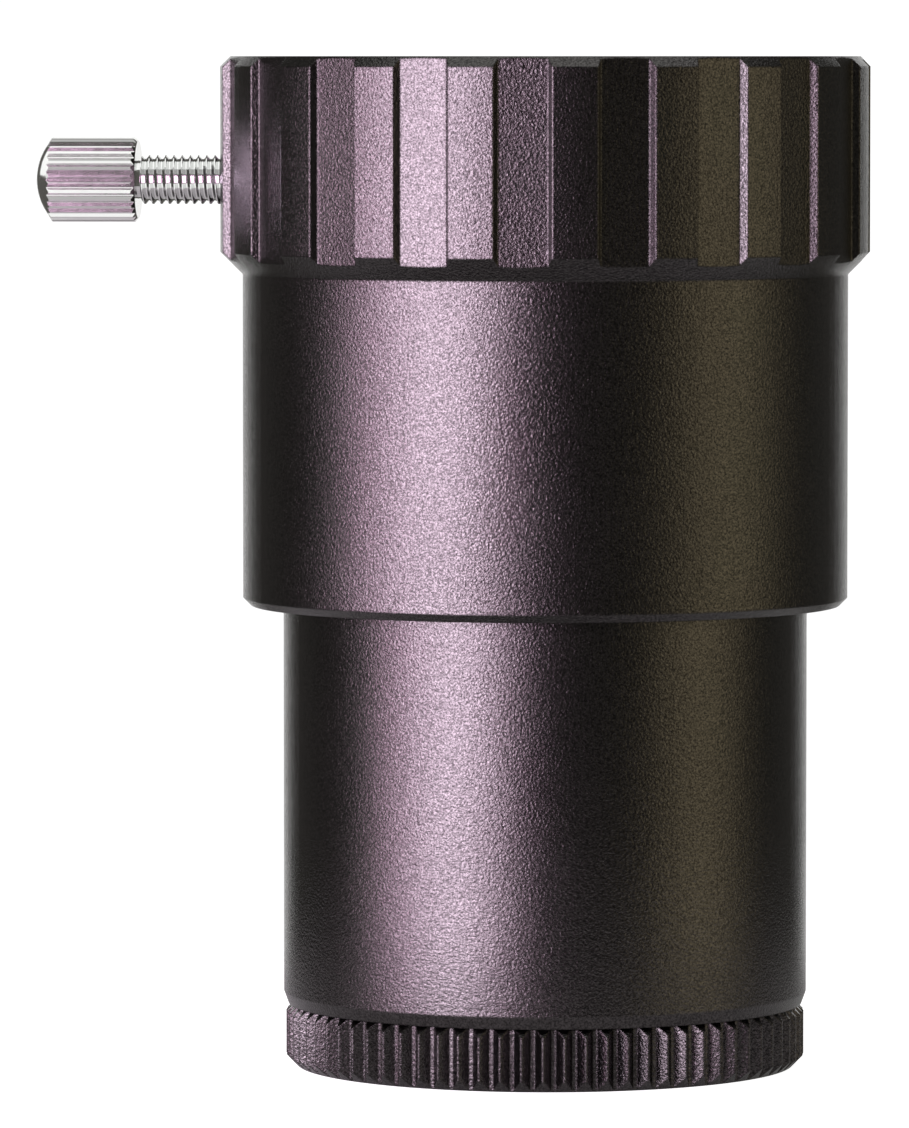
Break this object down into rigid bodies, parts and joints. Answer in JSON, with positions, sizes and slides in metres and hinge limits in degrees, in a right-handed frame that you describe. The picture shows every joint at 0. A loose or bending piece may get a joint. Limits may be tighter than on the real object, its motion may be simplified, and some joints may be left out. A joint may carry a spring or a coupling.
{
  "type": "barlow lens",
  "caption": "Barlow lens for a telescope: a barrel with a knurled lens cell below, a grooved eyepiece socket above and a side clamp screw.",
  "frame": {"origin": "on the optical axis, in the bottom face of the lens cell, at the mouth of the filter thread", "axes": "+Z along the optical axis to the eyepiece, X along the clamp screw with its knob on -X, +Y across"},
  "size_m": [0.0506, 0.0392, 0.0612],
  "materials": {
    "black_anodised": "bead-blasted black anodised",
    "bright_nickel": "bright nickel plate",
    "brass": "bare turned brass",
    "coated_glass": "antireflection coated"
  },
  "bodies": {
    "holder": {"eyepiece_holder": "black_anodised", "nose_barrel": "black_anodised", "compression_ring": "brass"},
    "clamp_feed": {"pressure_pad": "brass"},
    "clamp_screw": {"clamp_stud": "bright_nickel", "clamp_knob": "bright_nickel"},
    "optics": {"flint_lens": "coated_glass", "crown_lens": "coated_glass"},
    "cell": {"lens_cell": "black_anodised", "lens_retainer": "black_anodised"}
  },
  "joints": [
    {"name": "clamp_advance", "type": "slide", "parent": "holder", "child": "clamp_feed", "axis": [1, 0, 0], "range_m": [-0.001, 0.00015]},
    {"name": "clamp_turn", "type": "hinge", "parent": "clamp_feed", "child": "clamp_screw", "pos_m": [-0.0248, 0, 0.05369], "axis": [1, 0, 0], "range_deg": [-720, 108]},
    {"name": "cell_travel", "type": "slide", "parent": "holder", "child": "optics", "axis": [0, 0, -1], "range_m": [0, 0.006]},
    {"name": "cell_unscrew", "type": "hinge", "parent": "optics", "child": "cell", "pos_m": [0, 0, 0], "axis": [0, 0, -1], "range_deg": [0, 3600]}
  ],
  "couplings": [
    {"joint": "clamp_turn", "follows": "clamp_advance", "rad_per_m": 12566},
    {"joint": "cell_unscrew", "follows": "cell_travel", "rad_per_m": 10472}
  ]
}
